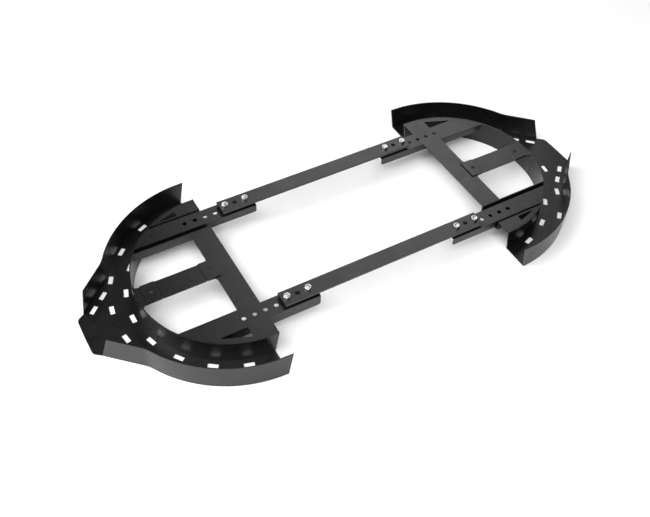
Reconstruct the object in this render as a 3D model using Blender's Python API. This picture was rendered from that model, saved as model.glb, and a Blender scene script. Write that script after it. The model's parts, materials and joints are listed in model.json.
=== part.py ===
"""Extendable cable trough frame of black powder-coated sheet steel.

Two identical end units stand on the floor, the right one turned half a turn about Z. Each
is a U-shaped trough, slotted in its floor, round a deck that carries two perforated side
arms. Two flat rails stand on spacers over the arms, and hex bolts through matching rows of
holes join them, so the frame grows or shrinks one hole at a time.

Origin: middle of the frame, on the floor. +X runs along the rails, +Z is up. Metres.
Each end unit is drawn at its left-hand place. "Fixed side" is the side with the arm that
is folded in one with the deck (-Y on the left unit), "tray side" the other one.
"""

import math

import bmesh
import bpy
from mathutils import Matrix, Vector

# Driving dimensions
PITCH = 0.0254  # from one adjusting hole to the next
SHEET = 0.0025  # thickness of every folded or flat sheet
GAP = 0.0003  # left between pieces that touch
ARC_STEPS = 60  # straight steps in half a turn of a trough wall

# Trough
CENTRE = (-0.3045, -0.0015)  # middle of the trough's half circle
ARC_END = math.radians(84)  # from the -X axis, where the walls run on straight
INNER_RADIUS = 0.2180  # inner face of the inner wall
OUTER_RADIUS = 0.2800  # inner face of the outer walls
INNER_TOP = 0.060
OUTER_TOP = 0.062
END_TOP_X = -0.2985  # where the walls end, at their top edge
END_FLOOR_X = -0.3090  # where the walls and the floor end, at the floor
FLARE_START = math.radians(30)  # from the -X axis, where the outer walls bend away
FLARE_BEND = 0.080
FLARE_DIRECTION = math.radians(43.5)
FLARE_STRAIGHT_TOP = 0.0745
FLARE_STRAIGHT_FLOOR = 0.092
TONGUE_CORNER = (-0.6465, 0.049)
TONGUE_CORNER_RADIUS = 0.012
TONGUE_TIP_X = -0.6475

# Slots in the trough's floor
SLOT = (0.0235, 0.0105)
SLOT_STEP = math.radians(18.3)
INNER_SLOT_RADIUS = 0.2353
OUTER_SLOT_RADIUS = 0.2705
FLARE_SLOTS = ((-0.575, 0.0885), (-0.606, 0.0600))

# Deck: the flat top of an end unit
DECK_TOP = 0.060
BAND_FRONT_X = -0.2985  # the cross band's edge towards the middle of the frame
BAND_BACK_X = -0.350
FLANGE_BOTTOM = 0.040
DEEP_FLANGE_BOTTOM = 0.0315  # the fixed arm's outer flange
WINDOW_OUTER_Y = 0.127
WINDOW_CORNER = 0.003
FIXED_CUTOUT = ((-0.4163, -0.178), (-0.350, -0.204), (-0.350, -0.178))
CUTOUT_CORNER = 0.0012

# Side arms and rails
ARM_Y = 0.154
ARM_WIDTH = 0.044
ARM_TIP_X = -0.1747
ARM_CORNER = 0.003
FIRST_HOLE_X = -0.195
HOLE_COUNT = 7
HOLE_RADIUS = 0.0052
TRAY_INNER_Y = 0.119
TRAY_OUTER_Y = 0.1835
TRAY_CUTOUT = ((-0.353, 0.186), (-0.353, 0.200), (-0.402, 0.186))
RAIL_WIDTH = 0.0381
RAIL_THICKNESS = 0.00635
RAIL_HALF_LENGTH = 0.2585
RAIL_HOLES = (0, 1, 2)
BOLTED_HOLES = (0, 2)

# Middle strut, whose raised ends lie on the deck and on the wall's tab
STRUT_WIDTH = 0.052
STRUT_FRONT_X = -0.339
STRUT_STEP_FRONT_X = -0.3735
STRUT_STEP_BACK_X = -0.4720
STRUT_BACK_X = -0.507
STRUT_STEP_RUN = 0.003
TAB_CORNER = 0.008
STRUT_SCREWS_X = (-0.357, -0.488)

# Fasteners
BOLT_RADIUS = 0.00476
BOLT_HEAD_FLATS = 0.0143
BOLT_HEAD_HEIGHT = 0.0062
BOLT_END_Z = 0.0465
NUT_HEIGHT = 0.0083
SPACER_RADIUS = 0.0095
SPACER_THICKNESS = 0.0046
SCREW_RADIUS = 0.0025
SCREW_HEAD_RADIUS = 0.0047
SCREW_HEAD_HEIGHT = 0.0018
SCREW_SOCKET_FLATS = 0.003
SCREW_SOCKET_DEPTH = 0.0012
SCREW_END_Z = 0.0500
SCREW_NUT_FLATS = 0.008
SCREW_NUT_HEIGHT = 0.004

# Where the bolted joints slide: a point on the frame's middle plane at deck height
RAILS_PIVOT = Vector((-0.2204, 0.0, DECK_TOP))
RIGHT_PIVOT = Vector((0.2204, 0.0, DECK_TOP))
HALF_TURN = math.pi


# Outlines


def on_arc(radius, angle, side=1):
    """A point on a circle about the trough's middle, angle from the -X axis."""
    x, y = CENTRE
    return (x - radius * math.cos(angle), y + side * radius * math.sin(angle))


def arc_points(radius, start, end, side=1):
    """Points along the trough's circle, at the angles that every wall shares."""
    step = math.pi / ARC_STEPS
    first = math.floor(min(start, end) / step) + 1
    last = math.ceil(max(start, end) / step) - 1
    angles = [i * step for i in range(first, last + 1)]
    if start > end:
        angles.reverse()
    return [on_arc(radius, angle, side) for angle in (start, *angles, end)]


def angle_at_x(radius, x):
    """The angle from the -X axis at which a trough circle reaches x."""
    return math.acos((CENTRE[0] - x) / radius)


def angle_at_y(radius, y):
    """The angle from the -X axis at which a trough circle reaches y."""
    return math.asin(abs(y - CENTRE[1]) / radius)


def arc_x(radius, y):
    """Where a trough circle reaches y, on its -X side."""
    return on_arc(radius, angle_at_y(radius, y))[0]


def rounded(corners, steps=3):
    """An outline from corners (x, y) or (x, y, radius), with arcs where a radius is given."""
    points = []
    for i, corner in enumerate(corners):
        here = Vector(corner[:2])
        radius = corner[2] if len(corner) == 3 else 0
        if not radius:
            points.append(tuple(here))
            continue
        back = (Vector(corners[i - 1][:2]) - here).normalized()
        ahead = (Vector(corners[(i + 1) % len(corners)][:2]) - here).normalized()
        half = back.angle(ahead) / 2
        centre = here + (back + ahead).normalized() * radius / math.sin(half)
        first = here + back * radius / math.tan(half) - centre
        last = here + ahead * radius / math.tan(half) - centre
        turn = first.angle_signed(last)
        for k in range(steps + 1):
            spoke = Matrix.Rotation(-turn * k / steps, 2) @ first
            points.append(tuple(centre + spoke))
    return points


def rectangle(x0, x1, y0, y1):
    return [(x0, y0), (x1, y0), (x1, y1), (x0, y1)]


def circle(radius, x=0.0, y=0.0, steps=16):
    turn = 2 * math.pi / steps
    return [
        (x + radius * math.cos(i * turn), y + radius * math.sin(i * turn))
        for i in range(steps)
    ]


def hexagon(flats, x=0.0, y=0.0):
    return circle(flats / math.sqrt(3), x, y, 6)


# Solids


def prism(outline, low, high):
    """A closed upright prism over an outline that runs anticlockwise."""
    bm = bmesh.new()
    bottom = [bm.verts.new((x, y, low)) for x, y in outline]
    top = [bm.verts.new((x, y, high)) for x, y in outline]
    bm.faces.new(list(reversed(bottom)))
    bm.faces.new(top)
    for i in range(len(outline)):
        j = (i + 1) % len(outline)
        bm.faces.new((bottom[i], bottom[j], top[j], top[i]))
    return to_mesh(bm)


def side_prism(profile, y0, y1):
    """A closed prism along Y over an X-Z profile that runs anticlockwise seen from -Y."""
    bm = bmesh.new()
    near = [bm.verts.new((x, y0, z)) for x, z in profile]
    far = [bm.verts.new((x, y1, z)) for x, z in profile]
    bm.faces.new(near)
    bm.faces.new(list(reversed(far)))
    for i in range(len(profile)):
        j = (i + 1) % len(profile)
        bm.faces.new((near[j], near[i], far[i], far[j]))
    return to_mesh(bm)


def ring(outer, inner_radius, low, high, x=0.0, y=0.0):
    """A plate with an outer outline and a round bore."""
    shape = prism(outer, low, high)
    bore = prism(circle(inner_radius, x, y), low - SHEET, high + SHEET)
    return cut(shape, [bore])


def band(stations, low, high):
    """A sheet standing on edge. A station is its near and far face at the bottom, then top."""
    bm = bmesh.new()
    rows = []
    for near_low, far_low, near_high, far_high in stations:
        rows.append(
            [
                bm.verts.new((*near_low, low)),
                bm.verts.new((*far_low, low)),
                bm.verts.new((*far_high, high)),
                bm.verts.new((*near_high, high)),
            ]
        )
    for here, there in zip(rows, rows[1:]):
        for i in range(4):
            j = (i + 1) % 4
            bm.faces.new((here[i], here[j], there[j], there[i]))
    bm.faces.new(list(reversed(rows[0])))
    bm.faces.new(rows[-1])
    bmesh.ops.recalc_face_normals(bm, faces=bm.faces)
    return to_mesh(bm)


def to_mesh(bm):
    mesh = bpy.data.meshes.new("shape")
    bm.to_mesh(mesh)
    bm.free()
    return mesh


def combined(mesh, tools, operation):
    """The mesh after one exact Boolean with each tool in turn."""
    body = bpy.data.objects.new("body", mesh)
    bpy.context.scene.collection.objects.link(body)
    helpers = []
    for tool in tools:
        helper = bpy.data.objects.new("tool", tool)
        helper.hide_render = True
        helper.display_type = "WIRE"
        bpy.context.scene.collection.objects.link(helper)
        modifier = body.modifiers.new(operation.lower(), "BOOLEAN")
        modifier.operation = operation
        modifier.solver = "EXACT"
        modifier.object = helper
        helpers.append(helper)
    graph = bpy.context.evaluated_depsgraph_get()
    result = bpy.data.meshes.new_from_object(body.evaluated_get(graph))
    for thing in (body, *helpers):
        bpy.data.objects.remove(thing, do_unlink=True)
    return result


def cut(mesh, tools):
    return combined(mesh, tools, "DIFFERENCE")


def joined(mesh, tools):
    return combined(mesh, tools, "UNION")


# Materials


def material(name, colour, roughness, metallic):
    made = bpy.data.materials.new(name)
    made.use_nodes = True
    shader = made.node_tree.nodes["Principled BSDF"]
    shader.inputs["Base Color"].default_value = (*colour, 1)
    shader.inputs["Roughness"].default_value = roughness
    shader.inputs["Metallic"].default_value = metallic
    return made


def black_powder_coat(name):
    return material(f"{name}_powder_coat", (0.022, 0.022, 0.023), 0.42, 0.0)


def zinc_plate(name):
    return material(f"{name}_zinc", (0.78, 0.79, 0.80), 0.28, 1.0)


def black_oxide(name):
    return material(f"{name}_black_oxide", (0.03, 0.03, 0.03), 0.35, 0.8)


# Sheets of an end unit, drawn at the left-hand place


def wall_station(radius, angle, side):
    """Both faces of a curved wall at one angle, the same at the bottom and the top."""
    near = on_arc(radius, angle, side)
    far = on_arc(radius + SHEET, angle, side)
    return near, far, near, far


def wall_end(radius, side):
    """The slanting end of a curved wall: short at the floor and long at the top."""
    low = [
        on_arc(r, angle_at_x(r, END_FLOOR_X), side) for r in (radius, radius + SHEET)
    ]
    high = [(END_TOP_X, CENTRE[1] + side * r) for r in (radius, radius + SHEET)]
    return (*low, *high)


def shared_angles(start, end):
    """The angles between start and end at which every curved wall has an edge."""
    step = math.pi / ARC_STEPS
    return [i * step for i in range(round(start / step), round(end / step) + 1)]


def inner_wall():
    """Half circle round the deck, with a tab at its top that carries the strut's end."""
    right = [wall_station(INNER_RADIUS, a, 1) for a in shared_angles(0, ARC_END)]
    left = [wall_station(INNER_RADIUS, a, -1) for a in shared_angles(0, ARC_END)]
    stations = [wall_end(INNER_RADIUS, -1), *reversed(left), *right[1:]]
    stations.append(wall_end(INNER_RADIUS, 1))
    wall = band(stations, SHEET + GAP, INNER_TOP)
    half = STRUT_WIDTH / 2
    root_x = CENTRE[0] - INNER_RADIUS - SHEET / 2
    edge_x = CENTRE[0] - math.sqrt(INNER_RADIUS**2 - (half + TAB_CORNER) ** 2)
    tip_x = STRUT_STEP_BACK_X - STRUT_STEP_RUN - GAP
    tab = rounded(
        [
            (tip_x, half),
            (edge_x, half, TAB_CORNER),
            (edge_x, half + TAB_CORNER),
            (root_x + SHEET, half + TAB_CORNER / 2),
            (root_x, 0),
            (root_x + SHEET, -half - TAB_CORNER / 2),
            (edge_x, -half - TAB_CORNER),
            (edge_x, -half, TAB_CORNER),
            (tip_x, -half),
        ]
    )
    tab_mesh = prism(tab, DECK_TOP - SHEET, DECK_TOP)
    hole = prism(circle(SCREW_RADIUS + GAP, STRUT_SCREWS_X[1]), 0.05, 0.07)
    return cut(joined(wall, [tab_mesh]), [hole])


def flare_path(radius, straight):
    """An outer wall's line beyond its arc: points and the directions across it.

    The wall leaves the circle along its tangent, bends the other way and runs straight.
    """
    start = Vector(on_arc(radius, FLARE_START))
    first = math.pi / 2 - FLARE_START
    swing = first - FLARE_DIRECTION
    bend = FLARE_BEND - (radius - OUTER_RADIUS)
    hub = start + Vector((-math.sin(first), math.cos(first))) * bend
    path = []
    steps = 6
    for i in range(1, steps + 1):
        across = Matrix.Rotation(-swing * i / steps, 2) @ (start - hub)
        path.append(hub + across)
    along = Vector((-math.cos(FLARE_DIRECTION), -math.sin(FLARE_DIRECTION)))
    path.append(path[-1] + along * straight)
    return [tuple(point) for point in path]


def mirrored(points, side):
    """The points themselves, or for side -1 their mirror image across the trough."""
    middle = CENTRE[1]
    return [(x, middle + side * (y - middle)) for x, y in points]


def outer_wall(side):
    """From the trough's end round to the mouth, where it flares outwards."""
    angles = shared_angles(FLARE_START, ARC_END)
    stations = [wall_end(OUTER_RADIUS, side)]
    stations += [wall_station(OUTER_RADIUS, a, side) for a in reversed(angles)]
    faces = (OUTER_RADIUS, OUTER_RADIUS + SHEET)
    low = [mirrored(flare_path(r, FLARE_STRAIGHT_FLOOR), side) for r in faces]
    high = [mirrored(flare_path(r, FLARE_STRAIGHT_TOP), side) for r in faces]
    for near_low, far_low, near_high, far_high in zip(*low, *high):
        stations.append((near_low, far_low, near_high, far_high))
    return band(stations, SHEET + GAP, OUTER_TOP)


def slot(x, y, direction):
    """A rectangular cutter through the trough's floor, long side along direction."""
    length, width = SLOT
    turn = Matrix.Rotation(direction, 2)
    corners = rectangle(-length / 2, length / 2, -width / 2, width / 2)
    outline = [tuple(turn @ Vector(c) + Vector((x, y))) for c in corners]
    return prism(outline, -SHEET, 2 * SHEET)


def floor_slots():
    """Two rings of slots that take turns round the trough, and two pairs in its mouth."""
    slots = []
    for i in range(-8, 9):
        angle = i * SLOT_STEP / 2
        radius = OUTER_SLOT_RADIUS if i % 2 else INNER_SLOT_RADIUS
        x, y = on_arc(radius, angle)
        slots.append(slot(x, y, math.pi / 2 - angle))
    for x, y in FLARE_SLOTS:
        slots.append(slot(x, y, FLARE_DIRECTION))
        slots.append(slot(x, -y, -FLARE_DIRECTION))
    return slots


def trough_floor():
    """Flat sheet under the walls, with a rounded tongue out of the trough's mouth."""
    outer = OUTER_RADIUS + SHEET
    outer_end = angle_at_x(outer, END_FLOOR_X)
    inner_end = angle_at_x(INNER_RADIUS, END_FLOOR_X)
    side = arc_points(outer, outer_end, FLARE_START)
    side += flare_path(outer, FLARE_STRAIGHT_FLOOR)
    x, y = TONGUE_CORNER
    mouth = [side[-1], (x, y, TONGUE_CORNER_RADIUS), (TONGUE_TIP_X, 0)]
    mouth += [(x, -y, TONGUE_CORNER_RADIUS), *mirrored(side[-1:], -1)]
    outline = side[:-1] + rounded(mouth) + mirrored(reversed(side[:-1]), -1)
    outline += arc_points(INNER_RADIUS, -inner_end, inner_end)
    return cut(prism(outline, 0.0, SHEET), floor_slots())


def hole_row(y, count, low, high):
    """Cutters for a row of adjusting holes, the first one nearest to the arm's tip."""
    return [
        prism(circle(HOLE_RADIUS, FIRST_HOLE_X - i * PITCH, y), low, high)
        for i in range(count)
    ]


def arm_flange(y0, y1, back_x, tip_x=ARM_TIP_X, bottom=FLANGE_BOTTOM):
    """A flange folded down from a top sheet, with its lower tip corner taken off."""
    profile = [
        (back_x, bottom),
        (tip_x - ARM_CORNER - GAP, bottom),
        (tip_x - GAP, bottom + ARM_CORNER),
        (tip_x - GAP, DECK_TOP - SHEET / 2),
        (back_x, DECK_TOP - SHEET / 2),
    ]
    return side_prism(profile, y0, y1)


def deck():
    """Cross band, fixed arm and strut tab folded from one sheet."""
    edge = INNER_RADIUS - GAP
    half = STRUT_WIDTH / 2
    inner_y = -(ARM_Y - ARM_WIDTH / 2)
    outer_y = -(ARM_Y + ARM_WIDTH / 2)
    tab_x = STRUT_STEP_FRONT_X + STRUT_STEP_RUN + GAP
    corners = [
        (ARM_TIP_X, outer_y, SHEET),
        (ARM_TIP_X, inner_y, SHEET),
        (BAND_FRONT_X, inner_y),
        (BAND_FRONT_X, TRAY_INNER_Y - GAP),
        (BAND_BACK_X, TRAY_INNER_Y - GAP),
        (BAND_BACK_X, half, TAB_CORNER),
        (tab_x, half),
        (tab_x, -half),
        (BAND_BACK_X, -half, TAB_CORNER),
        (BAND_BACK_X, -WINDOW_OUTER_Y, WINDOW_CORNER),
    ]
    outline = rounded(corners)
    start = angle_at_y(edge, -WINDOW_OUTER_Y)
    outline += arc_points(edge, start, ARC_END, -1)
    outline += [(BAND_FRONT_X, CENTRE[1] - edge), (BAND_FRONT_X, outer_y)]
    sheet = prism(outline, DECK_TOP - SHEET, DECK_TOP)
    window_end = arc_x(edge, -WINDOW_OUTER_Y) + 2 * SHEET
    flanges = [
        arm_flange(inner_y - SHEET, inner_y, BAND_BACK_X),
        arm_flange(outer_y, outer_y + SHEET, arc_x(edge, outer_y), bottom=DEEP_FLANGE_BOTTOM),
        arm_flange(-WINDOW_OUTER_Y - SHEET, -WINDOW_OUTER_Y, window_end, BAND_BACK_X),
    ]
    cutout = rounded([(x, y, CUTOUT_CORNER) for x, y in FIXED_CUTOUT])
    low, high = DECK_TOP - 2 * SHEET, DECK_TOP + SHEET
    holes = hole_row(-ARM_Y, HOLE_COUNT, low, high)
    holes.append(prism(cutout, low, high))
    holes.append(prism(circle(SCREW_RADIUS + GAP, STRUT_SCREWS_X[0]), low, high))
    return cut(joined(sheet, flanges), holes)


def gusset_plate():
    """Corner plate outside the tray, level with the deck."""
    edge = INNER_RADIUS - GAP
    base_y = TRAY_OUTER_Y + GAP
    outline = [(BAND_FRONT_X, base_y), (BAND_FRONT_X, CENTRE[1] + edge)]
    outline += arc_points(edge, ARC_END, angle_at_y(edge, base_y))
    cutout = rounded([(x, y, CUTOUT_CORNER) for x, y in TRAY_CUTOUT])
    sheet = prism(outline, DECK_TOP - SHEET, DECK_TOP)
    return cut(sheet, [prism(cutout, DECK_TOP - 2 * SHEET, DECK_TOP + SHEET)])


def arm_tray():
    """Open-topped channel from the wall to the cross band's edge, which holds the arm."""
    edge = INNER_RADIUS - GAP
    low = FLANGE_BOTTOM - GAP - SHEET
    outline = [(BAND_FRONT_X, TRAY_INNER_Y), (BAND_FRONT_X, TRAY_OUTER_Y)]
    outline += arc_points(
        edge, angle_at_y(edge, TRAY_OUTER_Y), angle_at_y(edge, TRAY_INNER_Y)
    )
    block = prism(outline, low, DECK_TOP)
    inside = rectangle(
        -0.6, BAND_FRONT_X + SHEET, TRAY_INNER_Y + SHEET, TRAY_OUTER_Y - SHEET
    )
    return cut(block, [prism(inside, low + SHEET, DECK_TOP + SHEET)])


def side_arm():
    """Channel, open below, that stands in the tray and runs from the wall to its tip."""
    low_y = ARM_Y - ARM_WIDTH / 2
    high_y = ARM_Y + ARM_WIDTH / 2
    edge = INNER_RADIUS - GAP
    high, low = angle_at_y(edge, high_y), angle_at_y(edge, low_y)
    corners = [(ARM_TIP_X, low_y, SHEET), (ARM_TIP_X, high_y, SHEET)]
    outline = rounded(corners + arc_points(edge, high, low))
    sheet = prism(outline, DECK_TOP - SHEET, DECK_TOP)
    flanges = [
        arm_flange(y, y + SHEET, arc_x(edge, y + SHEET))
        for y in (low_y, high_y - SHEET)
    ]
    holes = hole_row(ARM_Y, HOLE_COUNT, DECK_TOP - 2 * SHEET, DECK_TOP + SHEET)
    return cut(joined(sheet, flanges), holes)


def strut():
    """Flat bar between the windows, its ends stepped up by one thickness of sheet."""
    step = SHEET + GAP
    run = STRUT_STEP_RUN
    under = [
        (STRUT_BACK_X, step),
        (STRUT_STEP_BACK_X - run, step),
        (STRUT_STEP_BACK_X, 0.0),
        (STRUT_STEP_FRONT_X, 0.0),
        (STRUT_STEP_FRONT_X + run, step),
        (STRUT_FRONT_X, step),
    ]
    base = DECK_TOP - SHEET
    profile = [(x, base + z) for x, z in under]
    profile += [(x, base + z + SHEET) for x, z in reversed(under)]
    bar = side_prism(profile, -STRUT_WIDTH / 2, STRUT_WIDTH / 2)
    holes = [
        prism(circle(SCREW_RADIUS + GAP, x), base - SHEET, DECK_TOP + 3 * SHEET)
        for x in STRUT_SCREWS_X
    ]
    return cut(bar, holes)


# Fasteners, drawn about their own axis at the height where they sit


def strut_screw():
    """Button-head socket screw through the strut and the sheet under it."""
    seat = DECK_TOP + SHEET + 2 * GAP
    top = seat + SCREW_HEAD_HEIGHT
    head = prism(circle(SCREW_HEAD_RADIUS), seat, top)
    socket = prism(hexagon(SCREW_SOCKET_FLATS), top - SCREW_SOCKET_DEPTH, top + SHEET)
    shank = prism(circle(SCREW_RADIUS), SCREW_END_Z, seat + GAP)
    return cut(joined(head, [shank]), [socket])


def strut_nut():
    top = DECK_TOP - SHEET - GAP
    outer = hexagon(SCREW_NUT_FLATS)
    return ring(outer, SCREW_RADIUS + GAP, top - SCREW_NUT_HEIGHT, top)


def rail_bolt():
    """Hex bolt from the rail's top down through the arm."""
    seat = rail_bottom() + RAIL_THICKNESS + GAP
    head = prism(hexagon(BOLT_HEAD_FLATS), seat, seat + BOLT_HEAD_HEIGHT)
    shank = prism(circle(BOLT_RADIUS), BOLT_END_Z, seat + SHEET)
    return joined(head, [shank])


def rail_spacer():
    """Round collar between an arm and a rail."""
    low = DECK_TOP + GAP
    return ring(circle(SPACER_RADIUS), BOLT_RADIUS + GAP, low, low + SPACER_THICKNESS)


def rail_nut():
    top = DECK_TOP - SHEET - GAP
    return ring(hexagon(BOLT_HEAD_FLATS), BOLT_RADIUS + GAP, top - NUT_HEIGHT, top)


def rail_bottom():
    return DECK_TOP + 2 * GAP + SPACER_THICKNESS


def side_rail():
    """Flat bar with three holes at each end, drawn about the X axis."""
    half = RAIL_WIDTH / 2
    low = rail_bottom()
    high = low + RAIL_THICKNESS
    outline = rectangle(-RAIL_HALF_LENGTH, RAIL_HALF_LENGTH, -half, half)
    cutters = []
    for i in RAIL_HOLES:
        for side in (-1, 1):
            x = side * (FIRST_HOLE_X - i * PITCH)
            cutters.append(prism(circle(HOLE_RADIUS, x), low - SHEET, high + SHEET))
    return cut(prism(outline, low, high), cutters)


# The assembly


def pivot(name, place):
    """An empty that carries one moving group."""
    empty = bpy.data.objects.new(name, None)
    empty.location = place
    bpy.context.scene.collection.objects.link(empty)
    return empty


def put(name, mesh, finish, parent, place=(0, 0, 0), turn=0.0):
    """One named object at a place in the world, carried by its group's empty."""
    mesh.shade_smooth()
    mesh.set_sharp_from_angle(angle=math.radians(30))
    thing = bpy.data.objects.new(name, mesh)
    thing.location = place
    thing.rotation_euler.z = turn
    thing.parent = parent
    thing.matrix_parent_inverse = Matrix.Translation(parent.location).inverted()
    bpy.context.scene.collection.objects.link(thing)
    if not mesh.materials:
        mesh.materials.append(None)
    thing.material_slots[0].link = "OBJECT"
    thing.material_slots[0].material = finish(name)


def build_ends(groups):
    """The sheets and screws of both end units, which share their meshes."""
    sheets = {
        "deck": deck(),
        "gusset_plate": gusset_plate(),
        "arm_tray": arm_tray(),
        "side_arm": side_arm(),
        "inner_wall": inner_wall(),
        "outer_wall_fixed_side": outer_wall(-1),
        "outer_wall_tray_side": outer_wall(1),
        "trough_floor": trough_floor(),
        "strut": strut(),
    }
    screw, nut = strut_screw(), strut_nut()
    for end, turn in (("left", 0.0), ("right", HALF_TURN)):
        side = math.cos(turn)
        for name, mesh in sheets.items():
            put(f"{end}_{name}", mesh, black_powder_coat, groups[end], turn=turn)
        for label, x in zip(("front", "back"), STRUT_SCREWS_X):
            place = (side * x, 0, 0)
            put(f"{end}_strut_screw_{label}", screw, black_oxide, groups[end], place)
            put(f"{end}_strut_nut_{label}", nut, black_oxide, groups[end], place)


def build_rails(group):
    """Both rails, and a bolt, spacer and nut in each bolted hole."""
    rail = side_rail()
    fasteners = {"bolt": rail_bolt(), "spacer": rail_spacer(), "nut": rail_nut()}
    for row, y in (("near", -ARM_Y), ("far", ARM_Y)):
        put(f"{row}_rail", rail, black_powder_coat, group, (0, y, 0))
        for end, side in (("left", 1), ("right", -1)):
            for hole in BOLTED_HOLES:
                place = (side * (FIRST_HOLE_X - hole * PITCH), y, 0)
                for kind, mesh in fasteners.items():
                    name = f"{row}_{end}_{kind}_{hole + 1}"
                    put(name, mesh, zinc_plate, group, place)


def main():
    for thing in list(bpy.data.objects):
        bpy.data.objects.remove(thing, do_unlink=True)
    groups = {
        "left": pivot("left_end", Vector((*CENTRE, 0))),
        "right": pivot("right_end", RIGHT_PIVOT),
    }
    build_ends(groups)
    build_rails(pivot("rails", RAILS_PIVOT))


main()
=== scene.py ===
"""Looks of the extendable cable trough frame: sheets, fasteners, finishes and studio.

Every sheet of the frame is shown by a finer piece made from its CAD solid, with bend radii
at the folds and broken edges elsewhere. Bolts, spacers, nuts and screws are built here.
"""

import json
import math

import bmesh
import bpy
from mathutils import Matrix, Vector


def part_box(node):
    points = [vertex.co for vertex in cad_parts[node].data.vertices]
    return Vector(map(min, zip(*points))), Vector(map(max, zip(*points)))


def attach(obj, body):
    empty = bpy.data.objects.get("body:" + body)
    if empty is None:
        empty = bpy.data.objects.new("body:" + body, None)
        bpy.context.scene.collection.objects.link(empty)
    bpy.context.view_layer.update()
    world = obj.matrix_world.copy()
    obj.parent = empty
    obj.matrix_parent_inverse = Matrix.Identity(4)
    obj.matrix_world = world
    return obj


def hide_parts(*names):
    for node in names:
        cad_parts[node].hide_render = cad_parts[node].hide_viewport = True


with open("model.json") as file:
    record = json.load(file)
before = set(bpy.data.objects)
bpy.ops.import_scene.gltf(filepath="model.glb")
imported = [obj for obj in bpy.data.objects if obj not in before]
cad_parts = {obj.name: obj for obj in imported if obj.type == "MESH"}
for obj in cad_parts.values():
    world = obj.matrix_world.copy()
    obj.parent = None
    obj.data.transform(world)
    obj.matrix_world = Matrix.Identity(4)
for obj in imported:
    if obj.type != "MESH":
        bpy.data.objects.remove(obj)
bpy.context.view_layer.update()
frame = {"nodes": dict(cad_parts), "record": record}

# Sheets, in metres
EDGE_BREAK = 0.00035
BEND_RADIUS = 0.0022
BEND_STEPS = 10
MIN_FLANGE_HEIGHT = 0.008  # a side face lower than this is a sheet's edge, not a flange
SHARP_ANGLE = math.radians(35)  # a turn that counts as an edge
FACET_ANGLE = math.radians(4)  # more than the turn between two facets of a curved wall
FLAT_ANGLE = math.radians(0.4)  # faces that turn less than this are one flat face
MERGE_DISTANCE = 0.00001

# Fasteners, in metres
THREAD_PITCH = 0.00159
THREAD_DEPTH = 0.0007
THREAD_ROWS_A_TURN = 6
HEAD_HEIGHT = 0.0062
HEAD_CHAMFER = 0.0011
HEAD_DISH_DEPTH = 0.0009
WASHER_FACE = 0.0004
SHANK_RADIUS = 0.00476
SHANK_POINT = 0.0008
RUNNING_GAP = 0.0003
COUNTERSINK = 0.0006
CUT_MARGIN = 0.001  # how far a bore's cutter stands out on both sides
WELD_OVERLAP = 0.0004  # how far joined bodies reach into each other
BUTTON_HEIGHT = 0.0018
BUTTON_RIM = 0.0004
BUTTON_START = math.radians(12)  # the part of a quarter circle that the dome follows
BUTTON_TURN = math.radians(60)
SCREW_RADIUS = 0.0025
SCREW_SOCKET_FLATS = 0.0030
SCREW_SOCKET_DEPTH = 0.0012

# Studio
FLOOR_SIZE = 14.0
FLOOR_DROP = 0.0002
WORLD_STRENGTH = 0.06
LIGHTS = {
    # name: (place, diameter, watts), all aimed at the frame's middle
    "front_fill": ((-1.0, -2.2, 3.4), 3.6, 175.0),
    "left_fill": ((-2.9, 0.7, 3.4), 3.6, 190.0),
    "back_softbox": ((1.35, 1.8, 2.2), 2.1, 23.0),
}
CAMERA_TARGET = Vector((-0.08719, -0.04379, 0.0))
CAMERA_DISTANCE = 1.92767
CAMERA_AZIMUTH = math.radians(-32.05)
CAMERA_ELEVATION = math.radians(48.5)
CAMERA_ROLL = math.radians(3.108)
CAMERA_LENS_MM = 46.01
CAMERA_SENSOR_MM = 36.0


# Node helpers for the materials


def new_material(name):
    made = bpy.data.materials.new(name)
    made.use_nodes = True
    tree = made.node_tree
    return made, tree, tree.nodes["Principled BSDF"]


def noise(tree, scale, detail=3.0, roughness=0.55):
    """A noise texture in the piece's own metres."""
    place = tree.nodes.new("ShaderNodeTexCoord")
    texture = tree.nodes.new("ShaderNodeTexNoise")
    texture.inputs["Scale"].default_value = scale
    texture.inputs["Detail"].default_value = detail
    texture.inputs["Roughness"].default_value = roughness
    tree.links.new(place.outputs["Object"], texture.inputs["Vector"])
    return texture.outputs["Fac"]


def ramp(tree, value, stops):
    """Colour or grey stops along a value. A stop is (position, (r, g, b)) or (position, grey)."""
    node = tree.nodes.new("ShaderNodeValToRGB")
    elements = node.color_ramp.elements
    while len(elements) < len(stops):
        elements.new(0.5)
    for element, (position, colour) in zip(elements, stops):
        element.position = position
        rgb = colour if isinstance(colour, tuple) else (colour, colour, colour)
        element.color = (*rgb, 1.0)
    tree.links.new(value, node.inputs["Fac"])
    return node.outputs["Color"]


def bump(tree, height, distance, strength=1.0, under=None):
    node = tree.nodes.new("ShaderNodeBump")
    node.inputs["Distance"].default_value = distance
    node.inputs["Strength"].default_value = strength
    tree.links.new(height, node.inputs["Height"])
    if under is not None:
        tree.links.new(under, node.inputs["Normal"])
    return node.outputs["Normal"]


# Finishes


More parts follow.
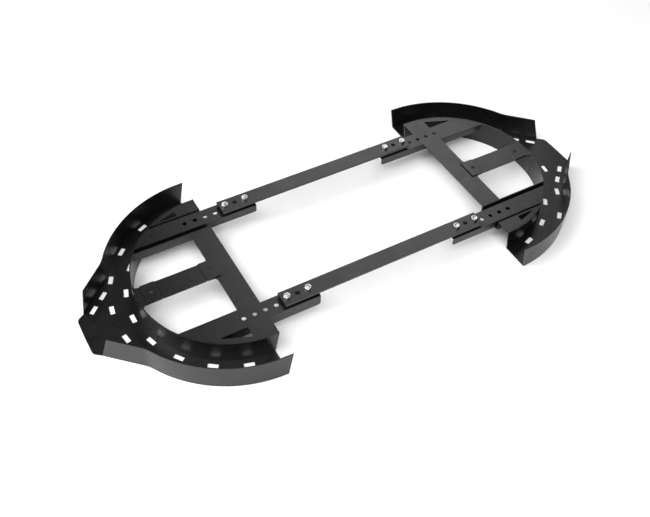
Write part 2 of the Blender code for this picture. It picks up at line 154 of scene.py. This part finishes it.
def powder_coat():
    """Satin black powder: fine orange peel, a cloudy gloss and a little pale dust."""
    made, tree, shader = new_material("black_powder_coat")
    cloud = noise(tree, 22.0, 4.0, 0.6)
    grain = noise(tree, 420.0, 4.0, 0.65)
    specks = noise(tree, 2600.0, 1.0, 0.4)
    dark, plain, pale = (0.003, 0.003, 0.003), (0.004, 0.004, 0.004), (0.016, 0.016, 0.017)
    colour = ramp(tree, specks, [(0.0, dark), (0.62, plain), (0.80, pale)])
    tree.links.new(colour, shader.inputs["Base Color"])
    tree.links.new(ramp(tree, cloud, [(0.3, 0.25), (0.7, 0.33)]), shader.inputs["Roughness"])
    peel = bump(tree, grain, 0.0004, 0.6)
    tree.links.new(bump(tree, cloud, 0.0006, 0.25, peel), shader.inputs["Normal"])
    shader.inputs["Specular IOR Level"].default_value = 0.5
    return made


def zinc_plate():
    """Bright zinc: slightly cloudy, with fine marks from the wrench and the plating drum."""
    made, tree, shader = new_material("zinc_plate")
    cloud = noise(tree, 160.0, 4.0, 0.6)
    marks = noise(tree, 1500.0, 2.0, 0.6)
    colour = ramp(tree, cloud, [(0.3, (0.66, 0.68, 0.71)), (0.7, (0.84, 0.85, 0.86))])
    tree.links.new(colour, shader.inputs["Base Color"])
    tree.links.new(ramp(tree, marks, [(0.35, 0.22), (0.7, 0.40)]), shader.inputs["Roughness"])
    tree.links.new(bump(tree, marks, 0.00004, 0.5), shader.inputs["Normal"])
    shader.inputs["Metallic"].default_value = 1.0
    return made


def black_oxide():
    """Oiled black oxide on small screws and nuts."""
    made, tree, shader = new_material("black_oxide")
    cloud = noise(tree, 300.0, 3.0, 0.6)
    colour = ramp(tree, cloud, [(0.3, (0.016, 0.016, 0.017)), (0.7, (0.034, 0.033, 0.032))])
    tree.links.new(colour, shader.inputs["Base Color"])
    tree.links.new(ramp(tree, cloud, [(0.3, 0.28), (0.7, 0.42)]), shader.inputs["Roughness"])
    tree.links.new(bump(tree, cloud, 0.00003, 0.5), shader.inputs["Normal"])
    shader.inputs["Metallic"].default_value = 0.6
    return made


FINISHES = {
    "powder_coat": powder_coat(),
    "zinc_plate": zinc_plate(),
    "black_oxide": black_oxide(),
}


# Pieces


def show(name, mesh, node, slot):
    """A finished piece that stands for a CAD node and moves with that node's body."""
    piece = bpy.data.objects.new(name, mesh)
    bpy.context.scene.collection.objects.link(piece)
    if not mesh.materials:
        mesh.materials.append(FINISHES[slot])
    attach(piece, BODY_OF[node])
    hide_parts(node)
    return piece


def shade(mesh, angle):
    """Smooth shading, except over edges that turn more than the angle."""
    mesh.shade_smooth()
    mesh.set_sharp_from_angle(angle=angle)


BODY_OF = {
    node: body
    for body, nodes in frame["record"]["behaviour"]["bodies"].items()
    for node in nodes
}
SLOT_OF = {s["node"]: s["material_slot"] for s in frame["record"]["subparts"]}


def to_mesh(bm):
    mesh = bpy.data.meshes.new("shape")
    bm.to_mesh(mesh)
    bm.free()
    return mesh


# Sheets and rails


def is_sharp(edge):
    """A convex edge that a hand would feel."""
    return edge.is_manifold and edge.is_convex and edge.calc_face_angle() > SHARP_ANGLE


def is_fold(edge):
    """An outer edge along X where a tall flange turns away from a level sheet."""
    along = (edge.verts[1].co - edge.verts[0].co).normalized()
    up = Vector((0, 0, 1))
    if not is_sharp(edge) or abs(along.x) < 0.99:
        return False
    level = [f for f in edge.link_faces if abs(f.normal.dot(up)) > 0.99]
    side = [f for f in edge.link_faces if abs(f.normal.dot(up)) < 0.01]
    if len(level) != 1 or len(side) != 1:
        return False
    heights = [v.co.z for v in side[0].verts]
    return max(heights) - min(heights) > MIN_FLANGE_HEIGHT


def round_edges(bm, edges, width, segments):
    bmesh.ops.bevel(
        bm,
        geom=edges,
        offset=width,
        offset_type="OFFSET",
        segments=segments,
        profile=0.5,
        affect="EDGES",
        clamp_overlap=True,
    )


def sheet_piece(node, folds=True):
    """A CAD sheet with rounded folds and broken edges."""
    bm = bmesh.new()
    bm.from_mesh(frame["nodes"][node].data)
    bmesh.ops.remove_doubles(bm, verts=bm.verts, dist=MERGE_DISTANCE)
    bmesh.ops.dissolve_limit(
        bm, angle_limit=FLAT_ANGLE, verts=bm.verts, edges=bm.edges
    )
    if folds:
        round_edges(bm, [e for e in bm.edges if is_fold(e)], BEND_RADIUS, BEND_STEPS)
    round_edges(bm, [e for e in bm.edges if is_sharp(e)], EDGE_BREAK, 2)
    mesh = to_mesh(bm)
    shade(mesh, FACET_ANGLE)
    show(f"{node}_finished", mesh, node, SLOT_OF[node])


FOLDED = ("deck", "side_arm", "arm_tray")
PLAIN = (
    "gusset_plate",
    "inner_wall",
    "outer_wall_fixed_side",
    "outer_wall_tray_side",
    "trough_floor",
    "strut",
)
for end in ("left", "right"):
    for part in FOLDED:
        sheet_piece(f"{end}_{part}")
    for part in PLAIN:
        sheet_piece(f"{end}_{part}", folds=False)
for rail in ("near_rail", "far_rail"):
    sheet_piece(rail, folds=False)


# Fasteners, made once about the Z axis from the size of one CAD node, then placed


def turned(profile, steps=48):
    """A closed solid of revolution from (radius, z) points, bottom to top."""
    bm = bmesh.new()
    rows = []
    for radius, z in profile:
        rows.append(
            [
                bm.verts.new((radius * math.cos(a), radius * math.sin(a), z))
                for a in (2 * math.pi * i / steps for i in range(steps))
            ]
        )
    for lower, upper in zip(rows, rows[1:]):
        for i in range(steps):
            j = (i + 1) % steps
            bm.faces.new((lower[i], lower[j], upper[j], upper[i]))
    bm.faces.new(list(reversed(rows[0])))
    bm.faces.new(rows[-1])
    return to_mesh(bm)


def hex_prism(flats, low, high):
    radius = flats / math.sqrt(3)
    bm = bmesh.new()
    angles = [i * math.pi / 3 for i in range(6)]
    corners = [(radius * math.cos(a), radius * math.sin(a)) for a in angles]
    bottom = [bm.verts.new((x, y, low)) for x, y in corners]
    top = [bm.verts.new((x, y, high)) for x, y in corners]
    bm.faces.new(list(reversed(bottom)))
    bm.faces.new(top)
    for i in range(6):
        j = (i + 1) % 6
        bm.faces.new((bottom[i], bottom[j], top[j], top[i]))
    return to_mesh(bm)


def thread(radius, low, high, steps=32):
    """A rod with one helical thread: its radius follows the turn and the height."""
    bm = bmesh.new()
    count = max(2, round((high - low) / THREAD_PITCH * THREAD_ROWS_A_TURN))
    rows = []
    for k in range(count + 1):
        z = low + (high - low) * k / count
        row = []
        for i in range(steps):
            phase = (z / THREAD_PITCH - i / steps) % 1.0
            reach = radius - THREAD_DEPTH * (1 - abs(2 * phase - 1))
            if k in (0, count):
                reach = radius - THREAD_DEPTH
            angle = 2 * math.pi * i / steps
            row.append(bm.verts.new((reach * math.cos(angle), reach * math.sin(angle), z)))
        rows.append(row)
    for lower, upper in zip(rows, rows[1:]):
        for i in range(steps):
            j = (i + 1) % steps
            bm.faces.new((lower[i], lower[j], upper[j], upper[i]))
    bm.faces.new(list(reversed(rows[0])))
    bm.faces.new(rows[-1])
    return to_mesh(bm)


def boolean(mesh, tool, operation):
    """The mesh after one exact Boolean with a tool mesh."""
    body = bpy.data.objects.new("body", mesh)
    helper = bpy.data.objects.new("tool", tool)
    for thing in (body, helper):
        bpy.context.scene.collection.objects.link(thing)
    modifier = body.modifiers.new("step", "BOOLEAN")
    modifier.operation = operation
    modifier.solver = "EXACT"
    modifier.object = helper
    graph = bpy.context.evaluated_depsgraph_get()
    result = bpy.data.meshes.new_from_object(body.evaluated_get(graph))
    for thing in (body, helper):
        bpy.data.objects.remove(thing, do_unlink=True)
    return result


def chamfered_hex(flats, low, high, both_ends):
    """A hex blank turned to a shallow cone at its top, and at its bottom for a nut."""
    corner = flats / math.sqrt(3) * 1.02
    face = flats / 2 * 0.94
    foot = [(corner, low)]
    if both_ends:
        foot = [(face, low), (corner, low + HEAD_CHAMFER)]
    profile = foot + [(corner, high - HEAD_CHAMFER), (face, high)]
    return boolean(hex_prism(flats, low, high), turned(profile, 96), "INTERSECT")


def bolt_mesh(node):
    """Hex bolt: a dished and chamfered head, a washer face, a threaded end and a point."""
    low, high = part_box(node)
    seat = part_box("near_rail")[1].z
    flats = high.y - low.y
    nut_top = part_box(node.replace("bolt", "nut"))[1].z
    head_low = high.z - HEAD_HEIGHT
    radius = SHANK_RADIUS
    head = chamfered_hex(flats, head_low + WASHER_FACE, high.z, False)
    dish_low = high.z - HEAD_DISH_DEPTH
    dish = turned([(flats * 0.24, dish_low), (flats * 0.36, high.z + 0.0002)], 64)
    head = boolean(head, dish, "DIFFERENCE")
    washer_top = head_low + WASHER_FACE * 1.5
    washer = turned([(flats * 0.46, head_low), (flats * 0.47, washer_top)], 64)
    plain = turned([(radius, nut_top), (radius, seat + WASHER_FACE * 2)], 32)
    point = turned([(radius * 0.72, low.z), (radius - THREAD_DEPTH, low.z + SHANK_POINT)], 32)
    rod = thread(radius, low.z + WELD_OVERLAP, nut_top + WELD_OVERLAP)
    for piece in (washer, plain, rod, point):
        head = boolean(head, piece, "UNION")
    return head


def nut_mesh(node):
    """Hex nut chamfered on both faces, with a countersunk bore."""
    low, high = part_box(node)
    flats = high.y - low.y
    bore = SHANK_RADIUS + RUNNING_GAP
    margin = CUT_MARGIN / 2
    wide = bore + COUNTERSINK + margin
    cutter = turned(
        [
            (wide, low.z - margin),
            (bore, low.z + COUNTERSINK),
            (bore, high.z - COUNTERSINK),
            (wide, high.z + margin),
        ],
        48,
    )
    return boolean(chamfered_hex(flats, low.z, high.z, True), cutter, "DIFFERENCE")


def spacer_mesh(node):
    """Round collar with broken edges."""
    low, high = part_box(node)
    radius = (high.x - low.x) / 2
    edge = EDGE_BREAK
    outer = turned(
        [
            (radius - edge, low.z),
            (radius, low.z + edge),
            (radius, high.z - edge),
            (radius - edge, high.z),
        ],
        64,
    )
    bore = SHANK_RADIUS + RUNNING_GAP
    hole = turned([(bore, low.z - CUT_MARGIN), (bore, high.z + CUT_MARGIN)], 48)
    return boolean(outer, hole, "DIFFERENCE")


def screw_mesh(node):
    """Button-head screw: a dome with a hex socket, on a threaded shank."""
    low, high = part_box(node)
    radius = (high.x - low.x) / 2
    seat = high.z - BUTTON_HEIGHT
    dome = [(radius, seat)]
    bottom = math.sin(BUTTON_START)
    top = math.sin(BUTTON_START + BUTTON_TURN)
    for i in range(7):
        angle = BUTTON_START + BUTTON_TURN * i / 6
        share = (math.sin(angle) - bottom) / (top - bottom)
        reach = radius * math.cos(angle) / math.cos(BUTTON_START)
        dome.append((reach, seat + BUTTON_RIM + (BUTTON_HEIGHT - BUTTON_RIM) * share))
    head = turned(dome, 48)
    socket = hex_prism(SCREW_SOCKET_FLATS, high.z - SCREW_SOCKET_DEPTH, high.z + CUT_MARGIN)
    rod = thread(SCREW_RADIUS, low.z, seat + WELD_OVERLAP, 24)
    return boolean(boolean(head, socket, "DIFFERENCE"), rod, "UNION")


def small_nut_mesh(node):
    """Hex nut with a plain bore, for the strut screws."""
    low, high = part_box(node)
    flats = high.y - low.y
    bore = SCREW_RADIUS + RUNNING_GAP
    hole = turned([(bore, low.z - CUT_MARGIN), (bore, high.z + CUT_MARGIN)], 32)
    return boolean(chamfered_hex(flats, low.z, high.z, True), hole, "DIFFERENCE")


def place_copies(make, nodes):
    """One mesh, made about the Z axis, shown at the place of every CAD node of its kind."""
    mesh = make(nodes[0])
    shade(mesh, SHARP_ANGLE)
    for node in nodes:
        low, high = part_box(node)
        centre = (low + high) / 2
        piece = show(f"{node}_finished", mesh, node, SLOT_OF[node])
        piece.matrix_world = Matrix.Translation((centre.x, centre.y, 0))


def nodes_with(word):
    return sorted(n for n in frame["nodes"] if word in n)


place_copies(bolt_mesh, nodes_with("_bolt_"))
place_copies(nut_mesh, [n for n in nodes_with("_nut_") if "strut" not in n])
place_copies(spacer_mesh, nodes_with("_spacer_"))
place_copies(screw_mesh, nodes_with("strut_screw"))
place_copies(small_nut_mesh, nodes_with("strut_nut"))


# Studio


def floor():
    bm = bmesh.new()
    half = FLOOR_SIZE / 2
    corners = [(-half, -half), (half, -half), (half, half), (-half, half)]
    bm.faces.new([bm.verts.new((x, y, -FLOOR_DROP)) for x, y in corners])
    mesh = to_mesh(bm)
    made, tree, shader = new_material("studio_floor")
    tone = ramp(tree, noise(tree, 3.0), [(0.3, (0.86, 0.86, 0.86)), (0.7, (0.90, 0.90, 0.90))])
    tree.links.new(tone, shader.inputs["Base Color"])
    shader.inputs["Roughness"].default_value = 0.9
    shader.inputs["Specular IOR Level"].default_value = 0.1
    mesh.materials.append(made)
    plane = bpy.data.objects.new("studio_floor", mesh)
    bpy.context.scene.collection.objects.link(plane)


def area_light(name, place, size, watts):
    lamp = bpy.data.lights.new(name, "AREA")
    lamp.shape = "DISK"
    lamp.size = size
    lamp.energy = watts
    thing = bpy.data.objects.new(name, lamp)
    thing.location = place
    thing.rotation_euler = (-Vector(place)).to_track_quat("-Z", "Y").to_euler()
    bpy.context.scene.collection.objects.link(thing)


def light():
    world = bpy.data.worlds.new("studio_world")
    world.use_nodes = True
    background = world.node_tree.nodes["Background"]
    background.inputs["Color"].default_value = (1.0, 1.0, 1.0, 1.0)
    background.inputs["Strength"].default_value = WORLD_STRENGTH
    bpy.context.scene.world = world
    for name, (place, size, watts) in LIGHTS.items():
        area_light(name, place, size, watts)
    bpy.context.scene.view_settings.view_transform = "Standard"


def camera():
    around, up = CAMERA_AZIMUTH, CAMERA_ELEVATION
    back = Vector((math.sin(around) * math.cos(up), -math.cos(around) * math.cos(up), math.sin(up)))
    level = (-back).cross(Vector((0, 0, 1))).normalized()
    above = level.cross(-back)
    right = math.cos(CAMERA_ROLL) * level + math.sin(CAMERA_ROLL) * above
    top = -math.sin(CAMERA_ROLL) * level + math.cos(CAMERA_ROLL) * above
    data = bpy.data.cameras.new("camera")
    data.sensor_width = CAMERA_SENSOR_MM
    data.lens = CAMERA_LENS_MM
    data.clip_start = 0.01
    thing = bpy.data.objects.new("camera", data)
    pose = Matrix((right, top, back)).transposed().to_4x4()
    pose.translation = CAMERA_TARGET + back * CAMERA_DISTANCE
    thing.matrix_world = pose
    bpy.context.scene.collection.objects.link(thing)
    bpy.context.scene.camera = thing


floor()
light()
camera()
